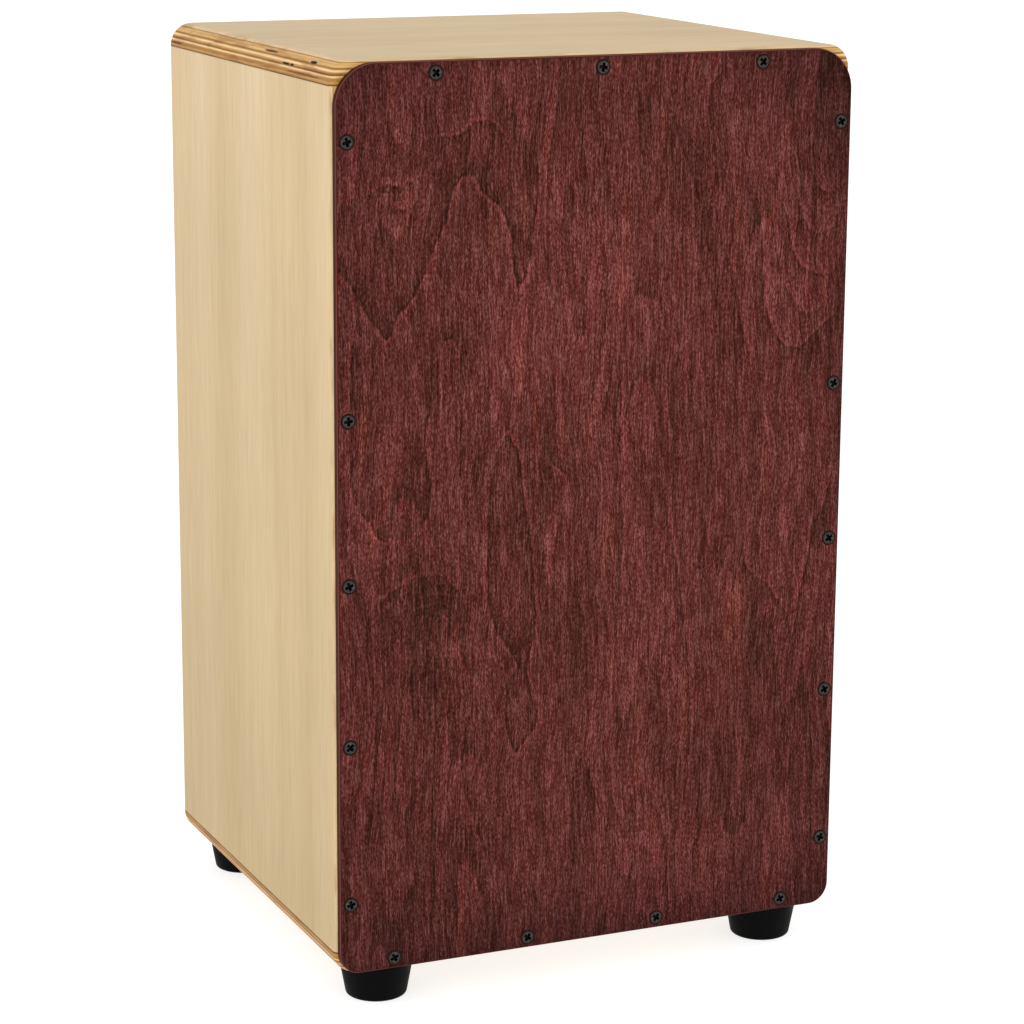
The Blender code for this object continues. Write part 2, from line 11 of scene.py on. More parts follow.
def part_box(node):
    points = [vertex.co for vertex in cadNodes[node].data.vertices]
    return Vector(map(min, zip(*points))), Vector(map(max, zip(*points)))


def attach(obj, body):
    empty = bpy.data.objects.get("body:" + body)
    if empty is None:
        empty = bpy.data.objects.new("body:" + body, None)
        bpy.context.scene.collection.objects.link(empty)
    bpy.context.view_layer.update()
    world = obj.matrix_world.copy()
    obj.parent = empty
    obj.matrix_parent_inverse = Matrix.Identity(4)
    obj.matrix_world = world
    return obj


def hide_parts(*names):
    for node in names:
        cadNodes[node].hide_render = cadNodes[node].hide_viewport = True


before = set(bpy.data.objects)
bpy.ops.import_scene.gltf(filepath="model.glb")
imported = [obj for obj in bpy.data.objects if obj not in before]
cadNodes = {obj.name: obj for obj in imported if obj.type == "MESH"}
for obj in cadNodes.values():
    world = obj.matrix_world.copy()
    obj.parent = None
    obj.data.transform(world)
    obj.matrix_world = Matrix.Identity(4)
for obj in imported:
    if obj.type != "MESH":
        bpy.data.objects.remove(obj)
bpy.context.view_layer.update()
mm = 0.001
toFront = Matrix.Rotation(math.radians(90), 4, "X")
print("frame loaded")


def toLinear(code):
    channels = [int(code[i:i + 2], 16) / 255 for i in (1, 3, 5)]
    linear = [c / 12.92 if c <= 0.04045 else ((c + 0.055) / 1.055) ** 2.4 for c in channels]
    return (*linear, 1.0)


# Adds a node with its settings; an input is a value to set, or a socket or node to link
def put(tree, kind, inputs=None, stops=None, **settings):
    node = tree.nodes.new("ShaderNode" + kind)
    for name, value in settings.items():
        setattr(node, name, value)
    for key, value in (inputs or {}).items():
        if isinstance(value, bpy.types.Node):
            value = value.outputs[0]
        if isinstance(value, bpy.types.NodeSocket):
            tree.links.new(value, node.inputs[key])
        else:
            node.inputs[key].default_value = value
    if stops:
        elements = node.color_ramp.elements
        while len(elements) < len(stops):
            elements.new(1.0)
        for element, (position, colour) in zip(elements, stops):
            element.position = position
            element.color = toLinear(colour) if isinstance(colour, str) else (colour, colour, colour, 1.0)
    return node


def startMaterial(name):
    material = bpy.data.materials.new(name)
    material.use_nodes = True
    tree = material.node_tree
    place = put(tree, "TexCoord").outputs["Object"]
    return material, tree, tree.nodes["Principled BSDF"], place


# Links the colour. Rough is (pattern, its low, its high, roughness at each); relief is (pattern, strength,
# distance).
def finishShader(tree, shader, colour, rough=None, relief=None):
    tree.links.new(colour, shader.inputs["Base Color"])
    if rough:
        gloss = put(tree, "MapRange", dict(enumerate(rough)))
        tree.links.new(gloss.outputs[0], shader.inputs["Roughness"])
    if relief:
        pattern, strength, distance = relief
        bump = put(tree, "Bump", {"Strength": strength, "Distance": distance, "Height": pattern})
        tree.links.new(bump.outputs[0], shader.inputs["Normal"])


# Mesh helpers

def finishMesh(bm, name):
    bmesh.ops.recalc_face_normals(bm, faces=bm.faces)
    mesh = bpy.data.meshes.new(name)
    bm.to_mesh(mesh)
    bm.free()
    return mesh


def boxMesh(name, low, high):
    bm = bmesh.new()
    bmesh.ops.create_cube(bm, size=1.0)
    low, high = Vector(low), Vector(high)
    bmesh.ops.scale(bm, vec=high - low, verts=bm.verts)
    bmesh.ops.translate(bm, vec=(low + high) / 2, verts=bm.verts)
    return finishMesh(bm, name)


def roundEdges(mesh, chosen, radius, segments):
    bm = bmesh.new()
    bm.from_mesh(mesh)
    edges = [e for e in bm.edges if chosen(e.verts[0].co, e.verts[1].co)]
    bmesh.ops.bevel(bm, geom=edges, offset=radius, segments=segments, profile=0.5, affect="EDGES")
    bm.to_mesh(mesh)
    bm.free()


# Turns a profile of (radius, height) round Z; a closed profile makes a ring
def turnedMesh(name, profile, steps, closed=False):
    bm = bmesh.new()
    verts = [bm.verts.new((r, 0, z)) for r, z in profile]
    pairs = list(zip(verts, verts[1:])) + ([(verts[-1], verts[0])] if closed else [])
    edges = [bm.edges.new(pair) for pair in pairs]
    bmesh.ops.spin(
        bm, geom=verts + edges, cent=(0, 0, 0), axis=(0, 0, 1), angle=math.tau, steps=steps, use_merge=True
    )
    bmesh.ops.remove_doubles(bm, verts=bm.verts, dist=1e-6)
    return finishMesh(bm, name)


# Cuts one mesh from another and gives the result as a new mesh
def cutMesh(mesh, cutter):
    pair = [bpy.data.objects.new(m.name, m) for m in (mesh, cutter)]
    for obj in pair:
        bpy.context.scene.collection.objects.link(obj)
    modifier = pair[0].modifiers.new("cut", "BOOLEAN")
    modifier.operation = "DIFFERENCE"
    modifier.solver = "EXACT"
    modifier.object = pair[1]
    bpy.context.view_layer.update()
    result = bpy.data.meshes.new_from_object(pair[0].evaluated_get(bpy.context.evaluated_depsgraph_get()))
    for obj in pair:
        bpy.data.objects.remove(obj)
    return result


def joinMeshes(name, pieces):
    bm = bmesh.new()
    for mesh, place in pieces:
        copy = mesh.copy()
        copy.transform(place)
        bm.from_mesh(copy)
    return finishMesh(bm, name)


# Puts a piece in the scene in place of a CAD node
def addPiece(name, mesh, material, node, place=Matrix.Identity(4), weighted=True):
    obj = bpy.data.objects.new(name, mesh)
    bpy.context.scene.collection.objects.link(obj)
    if not mesh.materials:
        mesh.materials.append(material)
        mesh.shade_smooth()
        mesh.set_sharp_from_angle(angle=math.radians(40))
    obj.matrix_world = place
    if weighted:
        normals = obj.modifiers.new("weighted normals", "WEIGHTED_NORMAL")
        normals.keep_sharp = True
    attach(obj, "root")
    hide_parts(node)
    return obj


# The carcass's main places, read from the solids
topLow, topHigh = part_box("top_panel")
bottomLow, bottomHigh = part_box("bottom_panel")
tapaLow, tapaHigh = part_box("tapa")
backLow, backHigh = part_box("back_panel")
thickness = topHigh.z - topLow.z
halfWidth = topHigh.x
front, back = topLow.y, topHigh.y
seam = 0.1 * mm
voidReach = 40 * mm  # how far the voids of a panel's edge go into it
ones = (1.0, 1.0, 1.0)

# Birch plywood, clear satin lacquer: the plies come from the depth in the board, so rounded edges show them
plyTones = {
    "seam": "#6b4420", "brown": "#a07339", "dark": "#8f6329", "tan": "#b58a50", "light": "#e6c08c",
    "golden": "#cca468", "cream": "#d3b78d",
}
plyStock = 12.7  # mm, the thickness that the layers below are given for
plyLayers = [
    (0.00, "seam"), (0.40, "seam"), (0.70, "brown"), (1.30, "tan"), (1.80, "tan"), (2.20, "brown"),
    (3.20, "brown"), (3.70, "tan"), (4.15, "light"), (4.65, "light"), (4.95, "dark"), (5.60, "dark"),
    (5.95, "tan"), (6.40, "tan"), (6.80, "light"), (7.40, "light"), (7.80, "tan"), (8.15, "dark"),
    (8.40, "dark"), (8.70, "tan"), (9.00, "golden"), (9.80, "golden"), (10.05, "tan"), (10.30, "golden"),
    (10.85, "golden"), (11.00, "brown"), (11.20, "brown"), (11.50, "cream"), (12.40, "cream"),
]
# Noise cells to the metre, how far the grain and the plies wander, and the depths under the face where its
# veneer starts and ends
plyGrain = {
    "drift": 9.0, "fibres": 900.0, "streaks": 130.0, "bands": 20.0, "clouds": 7.0, "wave": 18.0,
    "edgeFibres": 420.0, "patches": 330.0, "wander": 6 * mm, "waveHeight": 0.6 * mm,
    "veneerStart": 0.9 * mm, "veneerEnd": 0.1 * mm, "sheen": 0.04,
}


def birchPly(name, ply):
    material, tree, shader, place = startMaterial(name)

    def cells(where, kind, detail, roughness=0.5):
        inputs = {"Vector": where, "Scale": plyGrain[kind], "Detail": detail, "Roughness": roughness}
        return put(tree, "TexNoise", inputs)

    # Wandering grain: the patterns that run along it read the place after this small push
    drift = cells(place, "drift", 2.0)
    push = put(tree, "VectorMath", {0: drift.outputs["Color"], 1: (0.5, 0.5, 0.5)}, operation="SUBTRACT")
    wander = (plyGrain["wander"],) * 3
    pushed = put(tree, "VectorMath", {0: push, 1: wander, 2: place}, operation="MULTIPLY_ADD")
    grainPlace = put(tree, "VectorMath", {0: pushed, 1: ply["grainScale"]}, operation="MULTIPLY")
    fibres = cells(grainPlace, "fibres", 6.0, 0.62)
    streaks = cells(grainPlace, "streaks", 4.0, 0.55)
    bands = cells(grainPlace, "bands", 2.0)
    clouds = cells(place, "clouds", 2.0)

    # Face veneer
    pale, mid, deep = ply["face"]
    broad = put(tree, "ValToRGB", {"Fac": bands}, stops=[(0.30, deep), (0.50, mid), (0.70, pale)])
    fine = put(tree, "ValToRGB", {"Fac": streaks}, stops=[(0.30, deep), (0.52, mid), (0.72, pale)])
    face = put(tree, "Mix", {0: 0.3, 6: broad, 7: fine}, data_type="RGBA")
    flecks = put(tree, "MapRange", {0: fibres, 1: 0.34, 2: 0.62, 3: 0.91, 4: 1.035})
    shade = put(tree, "MapRange", {0: clouds, 1: 0.3, 2: 0.7, 3: 0.955, 4: 1.03})
    tone = put(tree, "Math", {0: flecks, 1: shade}, operation="MULTIPLY")
    split = put(tree, "SeparateXYZ", {0: place})
    faceColour = put(tree, "VectorMath", {0: face.outputs[2], 1: tone}, operation="MULTIPLY")

    # Painted shade: the colour darkens towards the bottom and the back
    lower = put(tree, "VectorMath", {0: place, 1: (0.0, 0.5, -1.0)}, operation="DOT_PRODUCT")
    lower = put(tree, "MapRange", {0: lower.outputs["Value"], 1: -0.53, 2: 0.03})
    paintedShadeTint = put(tree, "VectorMath", {0: lower, 1: ply["paintedShadeTint"], 2: ones}, operation="MULTIPLY_ADD")
    faceColour = put(tree, "VectorMath", {0: faceColour, 1: paintedShadeTint}, operation="MULTIPLY")

    # Plies on the edges, with the depth read across the board from its inner face
    across = split.outputs[ply["across"]]
    depth = put(tree, "Math", {0: across, 1: ply["sign"], 2: ply["offset"]}, operation="MULTIPLY_ADD")
    edgePlace = put(tree, "VectorMath", {0: place, 1: ply["edgeScale"]}, operation="MULTIPLY")
    wave = cells(place, "wave", 3.0)
    waved = put(tree, "Math", {0: wave, 1: plyGrain["waveHeight"], 2: depth}, operation="MULTIPLY_ADD")
    shift = (ply["shift"] - plyGrain["waveHeight"] / 2) / ply["thickness"]
    layer = put(tree, "Math", {0: waved, 1: 1.0 / ply["thickness"], 2: shift}, operation="MULTIPLY_ADD")
    plies = put(tree, "ValToRGB", {"Fac": layer}, stops=[(d / plyStock, plyTones[t]) for d, t in plyLayers])
    edgeFibres = cells(edgePlace, "edgeFibres", 5.0, 0.65)
    edgeTone = put(tree, "MapRange", {0: edgeFibres, 1: 0.3, 2: 0.68, 3: 0.84, 4: 1.10})
    patch = put(tree, "MapRange", {0: cells(edgePlace, "patches", 2.0), 1: 0.53, 2: 0.64})
    patchTone = put(
        tree, "VectorMath", {0: patch, 1: (-0.22, -0.30, -0.38), 2: ones}, operation="MULTIPLY_ADD"
    )
    edgeColour = put(tree, "VectorMath", {0: plies, 1: edgeTone}, operation="MULTIPLY")
    edgeColour = put(tree, "VectorMath", {0: edgeColour, 1: patchTone}, operation="MULTIPLY")
    edge = edgeColour.outputs[0]

    # Small voids and scars in the inner plies of the left edge: the black of the voids is painted shade in
    # hollows the mesh lacks, the brown of the scars is the wood's own colour
    if ply.get("voids"):
        flat = put(tree, "CombineXYZ", {0: split.outputs[1], 1: depth, 2: split.outputs[0]})
        for along, deepAt, halfLong, halfDeep, voidShadeOrScarColour in ply["voids"]:
            scale = (1 / (halfLong * mm), 1 / (halfDeep * mm), 1 / voidReach)
            offset = (-along * mm * scale[0], -deepAt * mm * scale[1], halfWidth * scale[2])
            local = put(tree, "VectorMath", {0: flat, 1: scale, 2: offset}, operation="MULTIPLY_ADD")
            size = put(tree, "VectorMath", {0: local}, operation="LENGTH")
            size = size.outputs["Value"]
            rough = put(tree, "Math", {0: edgeFibres, 1: 1.6, 2: size}, operation="MULTIPLY_ADD")
            hole = put(tree, "MapRange", {0: rough, 1: 1.62, 2: 1.82, 3: 0.0, 4: 1.0})
            mixed = put(tree, "Mix", {0: hole, 6: toLinear(voidShadeOrScarColour), 7: edge}, data_type="RGBA")
            edge = mixed.outputs[2]

    # The face veneer covers the outside and the inside
    starts, ends = (ply["thickness"] - plyGrain[key] for key in ("veneerStart", "veneerEnd"))
    outer = put(tree, "MapRange", {0: depth, 1: starts, 2: ends})
    inner = put(tree, "MapRange", {0: depth, 1: 0.04 * mm, 2: 0.10 * mm, 3: 1.0, 4: 0.0})
    isFace = put(tree, "Math", {0: outer, 1: inner}, operation="MAXIMUM")
    colour = put(tree, "Mix", {0: isFace, 6: edge, 7: faceColour}, data_type="RGBA")
    finishShader(tree, shader, colour.outputs[2], (fibres, 0.3, 0.7, 0.50, 0.40), (fibres, 0.10, 0.2 * mm))
    shader.inputs["Specular IOR Level"].default_value = plyGrain["sheen"]
    return material


# Each panel's board: voids are (along the edge, depth, half length, half height) in mm, with their colour
topPly = {
    "across": 2, "sign": 1.0, "offset": -topLow.z, "thickness": thickness, "shift": 0.0,
    "paintedShadeTint": (0.0, 0.0, 0.0), "grainScale": (0.03, 1.0, 1.0), "edgeScale": (0.1, 0.1, 1.0),
    "face": ("#c8b08b", "#c2aa84", "#b89f78"),
    # The black voids are painted shade in hollows; the brown marks are the scars' own colour
    "voids": [
        (-60, 5.8, 6.0, 0.55, "#0d0805"), (-69, 5.9, 2.8, 0.65, "#0d0805"), (-95, 9.0, 5.0, 0.7, "#0d0805"),
        (-29, 9.5, 12.0, 0.6, "#5a3218"), (-92, 2.7, 26.0, 0.5, "#6d4424"),
        (-104, 5.3, 24.0, 0.35, "#6d4424"), (116, 2.6, 12.0, 0.6, "#5b371d"),
    ],
}
bottomPly = {
    "across": 2, "sign": -1.0, "offset": bottomHigh.z, "thickness": thickness, "shift": 0.0,
    "paintedShadeTint": (0.0, 0.0, 0.0), "grainScale": (0.03, 1.0, 1.0), "edgeScale": (0.1, 0.1, 1.0),
    "face": ("#c8b08b", "#c2aa84", "#b89f78"),
}
# The sides carry the strongest painted shade tint, darker towards the bottom and the back
leftPly = {
    "across": 0, "sign": -1.0, "offset": thickness - halfWidth, "thickness": thickness, "shift": 0.7 * mm,
    "paintedShadeTint": (-0.20, -0.21, -0.28), "grainScale": (1.0, 1.0, 0.03), "edgeScale": (1.0, 0.1, 0.1),
    "face": ("#d8c19d", "#d2b992", "#c8ae85"),
}
rightPly = {**leftPly, "sign": 1.0}
backPly = {
    "across": 1, "sign": 1.0, "offset": -backLow.y, "thickness": backHigh.y - backLow.y, "shift": 0.0,
    "paintedShadeTint": (-0.06, -0.06, -0.08), "grainScale": (1.0, 1.0, 0.03), "edgeScale": (0.1, 1.0, 0.1),
    "face": ("#d7c09c", "#d0b791", "#c5ab83"),
}
birchTop = birchPly("birch plywood top", topPly)
birchBottom = birchPly("birch plywood bottom", bottomPly)
birchLeft = birchPly("birch plywood left side", leftPly)
birchRight = birchPly("birch plywood right side", rightPly)
birchBack = birchPly("birch plywood back", backPly)
print("plywood materials made")

# Carcass panels, with the CAD's sizes and finer rounding
panel = {
    "roundover": 12.4 * mm, "eased": 4 * mm, "roundSegments": 16, "easedSegments": 6, "rebateGap": 0.3 * mm,
}
gap = Vector((panel["rebateGap"],) * 3)
rebateEnd = backHigh + gap
rebateEnd.y = back + 10 * mm
rebateCutter = boxMesh("rebate", backLow - gap, rebateEnd)
middleY = (front + back) / 2
halfDepth = (back - front) / 2
for name, up, low, high, material in (
    ("top_panel", 1, topLow, topHigh, birchTop),
    ("bottom_panel", -1, bottomLow, bottomHigh, birchBottom),
):
    middleZ = (low.z + high.z) / 2
    mesh = boxMesh(name, low, high)
    roundEdges(
        mesh,
        lambda a, b: abs(a.y - b.y) > halfDepth and min((a.z - middleZ) * up, (b.z - middleZ) * up) > 0,
        panel["roundover"],
        panel["roundSegments"],
    )
    roundEdges(
        mesh,
        lambda a, b: abs(a.y - b.y) < 1e-5
        and abs(a.y - middleY) > halfDepth - 1e-5
        and max((a.z - middleZ) * up, (b.z - middleZ) * up) > 1e-5 - thickness / 2,
        panel["eased"],
        panel["easedSegments"],
    )
    addPiece(name + "_wood", cutMesh(mesh, rebateCutter), material, name)
for name, side, material in (("left_side_panel", -1, birchLeft), ("right_side_panel", 1, birchRight)):
    inner, outer = side * (halfWidth - thickness), side * halfWidth
    low = (min(inner, outer), front, bottomHigh.z + seam)
    high = (max(inner, outer), back, topLow.z - seam)
    mesh = boxMesh(name, low, high)
    roundEdges(
        mesh,
        lambda a, b: abs(a.z - b.z) > 0.1 and min(a.x * side, b.x * side) > halfWidth - thickness / 2,
        panel["eased"],
        panel["easedSegments"],
    )
    addPiece(name + "_wood", cutMesh(mesh, rebateCutter), material, name)

# Back panel with its sound hole
soundHole = {"radius": 60 * mm, "easing": 1.2 * mm, "easingSteps": 6, "overrun": 4 * mm, "steps": 96}
middle = (backLow + backHigh) / 2
half = (backHigh.y - backLow.y) / 2
reach = half + soundHole["overrun"]
arcPoints = []
for i in range(soundHole["easingSteps"] + 1):
    angle = math.radians(90 * i / soundHole["easingSteps"])
    arcPoints.append((
        soundHole["radius"] + soundHole["easing"] * (1 - math.cos(angle)),
        half - soundHole["easing"] * (1 - math.sin(angle)),
    ))
profile = [(0, reach), (arcPoints[-1][0], reach)] + arcPoints[::-1]
profile += [(r, -z) for r, z in arcPoints] + [(arcPoints[-1][0], -reach), (0, -reach)]
holeCutter = turnedMesh("sound hole", profile, soundHole["steps"])
holeCutter.transform(Matrix.Translation(middle) @ toFront)
backMesh = cutMesh(boxMesh("back_panel", backLow, backHigh), holeCutter)
addPiece("back_panel_wood", backMesh, birchBack, "back_panel")
print("carcass built")

# Tapa: a rounded plate, sliced finely so that its points can hold the figure of the veneer
tapa = {
    "topRadius": 22 * mm, "bottomRadius": 11.5 * mm, "edge": 1.2 * mm, "edgeSegments": 4, "cornerSteps": 20,
    "sliceX": 2.0 * mm, "sliceZ": 3.5 * mm,
}
screw = {
    "head": 3.8 * mm, "crown": 0.5 * mm, "crownShare": 0.985, "crownSteps": 8, "rimTop": 0.05 * mm,
    "rimBottom": 0.25 * mm, "shank": 1.5 * mm, "shoulder": 13 * mm, "length": 16 * mm,
    "clearance": 0.45 * mm, "drillAbove": 2 * mm, "drillBelow": 8 * mm, "steps": 32,
}
screwNames = sorted(name for name in cadNodes if name.startswith("tapa_screw_"))
screwPlaces = {}
for name in screwNames:
    low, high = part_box(name)
    screwPlaces[name] = Vector(((low.x + high.x) / 2, tapaLow.y, (low.z + high.z) / 2))

bm = bmesh.new()
outline = []
for quarter, (sx, sz) in enumerate(((1, 1), (-1, 1), (-1, -1), (1, -1))):
    radius = tapa["topRadius"] if sz > 0 else tapa["bottomRadius"]
    cornerX = sx * (tapaHigh.x - radius)
    cornerZ = tapaHigh.z - radius if sz > 0 else tapaLow.z + radius
    for step in range(tapa["cornerSteps"] + 1):
        angle = math.radians(90) * (quarter + step / tapa["cornerSteps"])
        x, z = cornerX + radius * math.cos(angle), cornerZ + radius * math.sin(angle)
        outline.append(bm.verts.new((x, tapaHigh.y, z)))
plate = bm.faces.new(outline)
grown = bmesh.ops.extrude_face_region(bm, geom=[plate])
fresh = [g for g in grown["geom"] if isinstance(g, bmesh.types.BMVert)]
bmesh.ops.translate(bm, vec=(0, tapaLow.y - tapaHigh.y, 0), verts=fresh)
tapaMesh = finishMesh(bm, "tapa")
roundEdges(tapaMesh, lambda a, b: max(a.y, b.y) < tapaLow.y + 1e-5, tapa["edge"], tapa["edgeSegments"])
seat, bore = screw["head"] + screw["clearance"], screw["shank"] + screw["clearance"]
above, below = screw["drillAbove"], -screw["drillBelow"]
drillProfile = [(0, above), (seat, above), (seat, 0), (bore, bore - seat), (bore, below), (0, below)]
drill = turnedMesh("drill", drillProfile, screw["steps"])
drillPlaces = [Matrix.Translation(place) @ toFront for place in screwPlaces.values()]
tapaMesh = cutMesh(tapaMesh, joinMeshes("drills", [(drill, place) for place in drillPlaces]))
bm = bmesh.new()
bm.from_mesh(tapaMesh)
bmesh.ops.triangulate(bm, faces=bm.faces)
for axis, step in ((0, tapa["sliceX"]), (2, tapa["sliceZ"])):
    low, high = tapaLow[axis], tapaHigh[axis]
    normal = Vector([1 if i == axis else 0 for i in range(3)])
    for n in range(1, int((high - low) / step)):
        geom = bm.verts[:] + bm.edges[:] + bm.faces[:]
        point = normal * (low + n * step)
        bmesh.ops.bisect_plane(bm, geom=geom, plane_co=point, plane_no=normal, dist=1e-7)
tapaMesh = finishMesh(bm, "tapa")
print("tapa sliced", len(tapaMesh.polygons))

# Growth lines of the veneer, in mm from the tapa's left and top edges, each with its strength. The dark
# side lies to the left of the way a line runs. A point follows only the nearest line of each group.
growthLines = {
    "growthBold": [
        (1.15, [(-30, 66), (-12, 88), (3, 104), (9, 113), (16, 124), (22, 133), (26, 138), (30, 135),
            (32, 128), (35, 124), (39, 120), (43, 114), (46, 108), (49, 101), (53, 92), (58, 82),
            (60, 75), (62, 66), (66, 60), (70, 57), (74, 58), (77, 63), (80, 68), (84, 71), (88, 74),
            (91, 81), (94, 87), (95, 95), (96, 107), (98, 117), (100, 114), (103, 110), (105, 101),
            (107, 85), (109, 72), (110, 52), (112, 38)]),
        (0.98, [(92.6, 191.5), (87, 200), (84, 209), (82.5, 222), (82, 238), (82, 261), (83, 280),
            (85.5, 291), (88.5, 297), (93, 304), (98, 312), (99, 317), (94.5, 322), (92.5, 332),
            (93, 344), (94.5, 354), (97, 360), (99, 363), (103, 358), (107, 353), (111, 347), (110, 338),
            (108, 329), (105.5, 321), (105, 315), (108, 304), (110, 292), (109.5, 284), (108.5, 271),
            (107.5, 257), (106, 242), (104, 231), (101.5, 216), (99.5, 202), (96, 195), (92.6, 191.5)]),
        (1.0, [(12, 118), (8, 140), (7, 158), (7, 186), (6.5, 196), (7.5, 213), (12, 226), (18, 232),
            (20, 238), (24, 241.5), (31, 241), (38, 241.5), (43, 238), (48, 233), (50.5, 226), (51, 214),
            (49.5, 206), (48, 190), (51, 170), (54, 152)]),
        (0.98, [(290, 122), (286, 134), (281, 142), (274, 147), (268, 153), (261, 157), (254, 156),
            (249, 151), (245, 145), (242, 137), (240, 127), (239.5, 112), (238, 97), (236, 82), (232, 66),
            (228, 48)]),
    ],
    "growthFaint": [
        (0.88, [(290, 98), (284, 112), (279, 119), (271, 118), (262, 113), (257, 105), (252, 85),
            (242, 62)]),
        (0.8, [(102, 62), (96, 48), (89, 37), (84, 32), (78, 30), (71, 33), (67, 37), (58, 37), (51, 38),
            (44, 43), (36, 56)]),
        (0.9, [(286, 215), (282, 233), (279, 246), (273, 254), (271, 270), (267, 288), (264, 302),
            (262, 318), (260, 306), (256, 299), (251, 292), (246, 285), (240, 281), (234, 276),
            (231, 264), (226, 245)]),
        (0.85, [(202, 385), (201, 345), (199, 318), (196, 296), (192, 271), (187, 251), (183, 220)]),
        (0.64, [(196, 490), (195, 467), (194, 430), (193, 383), (190, 350)]),
        (0.56, [(48, 392), (56, 412), (58, 430), (54, 450), (56, 490)]),
        (0.64, [(67, 170), (67, 186), (66, 205), (67, 219), (69, 236), (70, 256)]),
        (0.6, [(296, 50), (291, 63), (285, 72), (278, 76), (272, 73), (268, 64), (265, 48)]),
        (0.64, [(108, 168), (109, 184), (112, 199), (120, 210), (127, 217), (130, 228), (134, 240),
            (135, 256)]),
        (0.8, [(160, 300), (159, 268), (160, 251), (158.5, 231), (157.5, 213), (157.5, 185), (158, 150)]),
    ],
    "growthThin": [
        (0.72, [(294, 70), (286, 82), (279, 95), (272, 97), (266, 94), (261, 84), (258, 70), (256, 52)]),
        (0.64, [(288, 110), (283, 124), (277, 133), (269, 139), (262, 137), (255, 128), (249, 112),
            (245, 92), (241, 72)]),
        (0.62, [(74, 300), (72, 288), (68, 276), (61, 265), (52, 262), (36, 265), (22, 273), (15, 284),
            (13, 298)]),
        (1.3, [(50, 64), (45, 62), (39, 59), (35, 62), (29, 60), (22, 62), (17, 65), (8, 68)]),
        (0.9, [(52, 79), (43, 71), (34, 73), (27, 70), (21, 72), (10, 75)]),
        (0.9, [(52, 190), (55, 174), (55, 160), (55, 149), (57, 142), (61, 139), (65, 143), (66, 152),
            (65, 163), (68, 184)]),
        (0.8, [(184, 30), (188, 44), (193, 56), (200, 76), (206, 100), (210, 113), (213, 135)]),
        (0.64, [(236, 180), (231, 156), (226, 136), (224, 120), (216, 101), (211, 80)]),
        (0.64, [(66, 312), (74, 330), (70, 345), (68, 372), (76, 400), (84, 424), (88, 450)]),
        (0.56, [(170, 490), (170, 467), (171, 430), (170, 400), (167, 370)]),
        (0.56, [(126, 300), (130, 330), (127, 365), (131, 400), (128, 440)]),
        (0.56, [(232, 340), (236, 370), (233, 405), (238, 440)]),
    ],
}
# Knots: (strength, middle, ring spacing, width for a height of 1, reach)
knots = [(0.85, (52, 287), 5.0, 1.5, 24), (0.6, (50, 320), 4.2, 0.95, 24), (0.6, (283, 44), 5.0, 1.0, 36)]
fadeLength = 30 * mm  # the stretch over which a line fades in at its ends
lineReach = 16 * mm  # how far a line's shading goes
pathSteps = 5  # points on a smoothed path for each one given


def smoothPath(points):
    points = [Vector((x * mm + tapaLow.x, tapaHigh.z - z * mm)) for x, z in points]
    closed = (points[0] - points[-1]).length < 1e-6
    before = points[-2] if closed else 2 * points[0] - points[1]
    after = points[1] if closed else 2 * points[-1] - points[-2]
    chain = [before] + points + [after]
    path = []
    for a, b, c, d in zip(chain, chain[1:], chain[2:], chain[3:]):
        slope, bend, twist = c - a, 2 * a - 5 * b + 4 * c - d, 3 * b - a - 3 * c + d
        for i in range(pathSteps):
            t = i / pathSteps
            path.append(0.5 * (2 * b + slope * t + bend * t * t + twist * t ** 3))
    path.append(points[-1])
    return np.array([(p.x, p.y) for p in path])


# At each point: signed distance to the nearest line, how it grows upwards, and the line's strength
def lineField(lines, spots):
    nearest = np.full(len(spots), 1.0)
    field = np.zeros((len(spots), 3), np.float32)
    field[:, 0] = 1.0
    for strength, points in lines:
        path = smoothPath(points)
        lengths = np.hypot(*np.diff(path, axis=0).T)
        reached = np.concatenate(([0.0], np.cumsum(lengths)))
        closed = np.allclose(path[0], path[-1])
        for n, (a, b) in enumerate(zip(path, path[1:])):
            near = np.nonzero(np.abs(spots - (a + b) / 2).max(axis=1) < lineReach + lengths[n])[0]
            way = (b - a) / lengths[n]
            run = np.clip((spots[near] - a) @ way, 0, lengths[n])
            away = spots[near] - a - run[:, None] * way
            distance = np.hypot(away[:, 0], away[:, 1])
            side = np.where(way[0] * away[:, 1] < way[1] * away[:, 0], -1, 1)
            ends = np.minimum(reached[n] + run, reached[-1] - reached[n] - run)
            fade = np.ones(len(near)) if closed else np.clip(ends / fadeLength, 0, 1)
            closer = distance < nearest[near]
            nearest[near[closer]] = distance[closer]
            values = np.stack((side * distance, np.full(len(near), way[0]), strength * fade), axis=1)
            field[near[closer]] = values[closer]
    return field


spots = np.zeros(len(tapaMesh.vertices) * 3)
tapaMesh.vertices.foreach_get("co", spots)
spots = spots.reshape(-1, 3)[:, [0, 2]]
fields = {name: lineField(lines, spots) for name, lines in growthLines.items()}
rings = np.zeros((len(spots), 3), np.float32)
for strength, (x, z), spacing, width, reach in knots:
    offset = (spots - (tapaLow.x + x * mm, tapaHigh.z - z * mm)) / mm / (width, 1)
    radius = np.hypot(offset[:, 0], offset[:, 1])
    inside = radius < reach
    rings[inside, 0] = radius[inside] / spacing
    rings[inside, 2] = strength * (1 - radius[inside] / reach) ** 0.5
fields["knotRings"] = rings
for name, values in fields.items():
    tapaMesh.attributes.new(name, "FLOAT_VECTOR", "POINT").data.foreach_set("vector", values.ravel())

